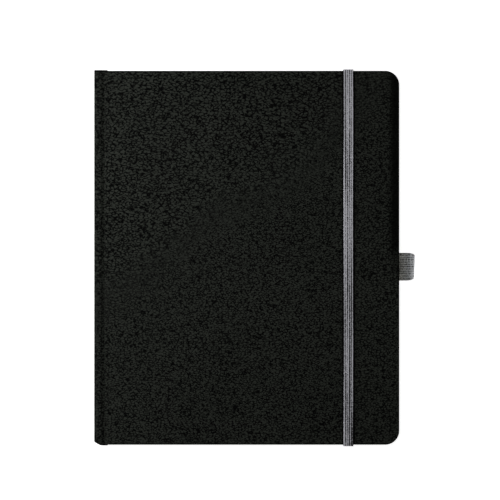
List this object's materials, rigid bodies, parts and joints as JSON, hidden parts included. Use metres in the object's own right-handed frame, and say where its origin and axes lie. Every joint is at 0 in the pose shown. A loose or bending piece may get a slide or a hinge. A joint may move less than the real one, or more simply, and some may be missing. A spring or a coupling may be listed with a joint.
{
  "type": "sketchbook",
  "caption": "Hardcover sketchbook in black grained leather, with sewn drawing paper that fans open, a grey elastic closure band and an elastic pen loop.",
  "frame": {"origin": "centre of the bottom of the bounding box, on the surface the back cover lies on", "axes": "+X from the spine to the fore-edge, +Y from the tail to the head, +Z out of the front cover"},
  "size_m": [0.215, 0.2522, 0.0206],
  "materials": {
    "cover_leather": "fine grained imitation leather, matt",
    "grey_board": "raw",
    "drawing_paper": "matt",
    "endpaper": "matt",
    "elastic": "ribbed woven elastic",
    "loop_elastic": "knitted elastic",
    "gauze": "open weave",
    "headband_cloth": "woven bead",
    "thread": "linen thread"
  },
  "bodies": {
    "back_cover": {"back_board": "grey_board", "back_leather": "cover_leather", "back_endpaper": "endpaper", "back_joint_leather": "cover_leather", "closure_band_ends": "elastic", "pen_loop_tabs": "loop_elastic"},
    "spine": {"spine_card": "grey_board", "spine_leather": "cover_leather", "spine_gauze": "gauze", "headband": "headband_cloth", "tailband": "headband_cloth"},
    "front_cover": {"front_board": "grey_board", "front_leather": "cover_leather", "front_endpaper": "endpaper", "front_joint_leather": "cover_leather"},
    "closure_band": {"closure_band": "elastic"},
    "pen_loop": {"pen_loop": "loop_elastic"},
    "section_01": {"signature_01": "drawing_paper", "thread_01": "thread"},
    "section_02": {"signature_02": "drawing_paper", "thread_02": "thread"},
    "section_03": {"signature_03": "drawing_paper", "thread_03": "thread"},
    "section_04": {"signature_04": "drawing_paper", "thread_04": "thread"},
    "section_05": {"signature_05": "drawing_paper", "thread_05": "thread"},
    "section_06": {"signature_06": "drawing_paper", "thread_06": "thread"},
    "section_07": {"signature_07": "drawing_paper", "thread_07": "thread"},
    "section_08": {"signature_08": "drawing_paper", "thread_08": "thread"},
    "section_09": {"signature_09": "drawing_paper", "thread_09": "thread"},
    "section_10": {"signature_10": "drawing_paper", "thread_10": "thread"}
  },
  "joints": [
    {"name": "cover_opening", "type": "hinge", "parent": "spine", "child": "front_cover", "pos_m": [-0.106, 0, 0.01805], "axis": [0, -1, 0], "range_deg": [0, 90], "deforming": ["front_joint_leather"]},
    {"name": "spine_fold", "type": "hinge", "parent": "back_cover", "child": "spine", "pos_m": [-0.106, 0, 0.0015], "axis": [0, -1, 0], "range_deg": [0, 90], "deforming": ["back_joint_leather"]},
    {"name": "fan_01", "type": "slide", "parent": "back_cover", "child": "section_01", "axis": [-1, 0, 0], "range_m": [0, 0.00208]},
    {"name": "fan_02", "type": "slide", "parent": "back_cover", "child": "section_02", "axis": [-1, 0, 0], "range_m": [0, 0.00405]},
    {"name": "fan_03", "type": "slide", "parent": "back_cover", "child": "section_03", "axis": [-1, 0, 0], "range_m": [0, 0.00602]},
    {"name": "fan_04", "type": "slide", "parent": "back_cover", "child": "section_04", "axis": [-1, 0, 0], "range_m": [0, 0.008]},
    {"name": "fan_05", "type": "slide", "parent": "back_cover", "child": "section_05", "axis": [-1, 0, 0], "range_m": [0, 0.00997]},
    {"name": "fan_06", "type": "slide", "parent": "front_cover", "child": "section_06", "axis": [-1, 0, 0], "range_m": [0, 0.00997]},
    {"name": "fan_07", "type": "slide", "parent": "front_cover", "child": "section_07", "axis": [-1, 0, 0], "range_m": [0, 0.008]},
    {"name": "fan_08", "type": "slide", "parent": "front_cover", "child": "section_08", "axis": [-1, 0, 0], "range_m": [0, 0.00602]},
    {"name": "fan_09", "type": "slide", "parent": "front_cover", "child": "section_09", "axis": [-1, 0, 0], "range_m": [0, 0.00405]},
    {"name": "fan_10", "type": "slide", "parent": "front_cover", "child": "section_10", "axis": [-1, 0, 0], "range_m": [0, 0.00208]},
    {"name": "band_release", "type": "slide", "parent": "back_cover", "child": "closure_band", "axis": [1, 0, 0], "range_m": [0, 0.0451], "deforming": ["closure_band"]},
    {"name": "pen_loop_flex", "type": "hinge", "parent": "back_cover", "child": "pen_loop", "pos_m": [0.09665, 0, 0.0024], "axis": [0, -1, 0], "range_deg": [-20, 20], "stiffness_Nm_per_rad": 0.02}
  ],
  "couplings": [
    {"joint": "spine_fold", "follows": "cover_opening", "ratio": 1},
    {"joint": "fan_01", "follows": "cover_opening", "m_per_rad": 0.0012573},
    {"joint": "fan_02", "follows": "cover_opening", "m_per_rad": 0.0025146},
    {"joint": "fan_03", "follows": "cover_opening", "m_per_rad": 0.003772},
    {"joint": "fan_04", "follows": "cover_opening", "m_per_rad": 0.0050293},
    {"joint": "fan_05", "follows": "cover_opening", "m_per_rad": 0.0062866},
    {"joint": "fan_06", "follows": "cover_opening", "m_per_rad": 0.0062866},
    {"joint": "fan_07", "follows": "cover_opening", "m_per_rad": 0.0050293},
    {"joint": "fan_08", "follows": "cover_opening", "m_per_rad": 0.003772},
    {"joint": "fan_09", "follows": "cover_opening", "m_per_rad": 0.0025146},
    {"joint": "fan_10", "follows": "cover_opening", "m_per_rad": 0.0012573},
    {"joint": "band_release", "follows": "cover_opening", "m_per_rad": 0.028648}
  ]
}
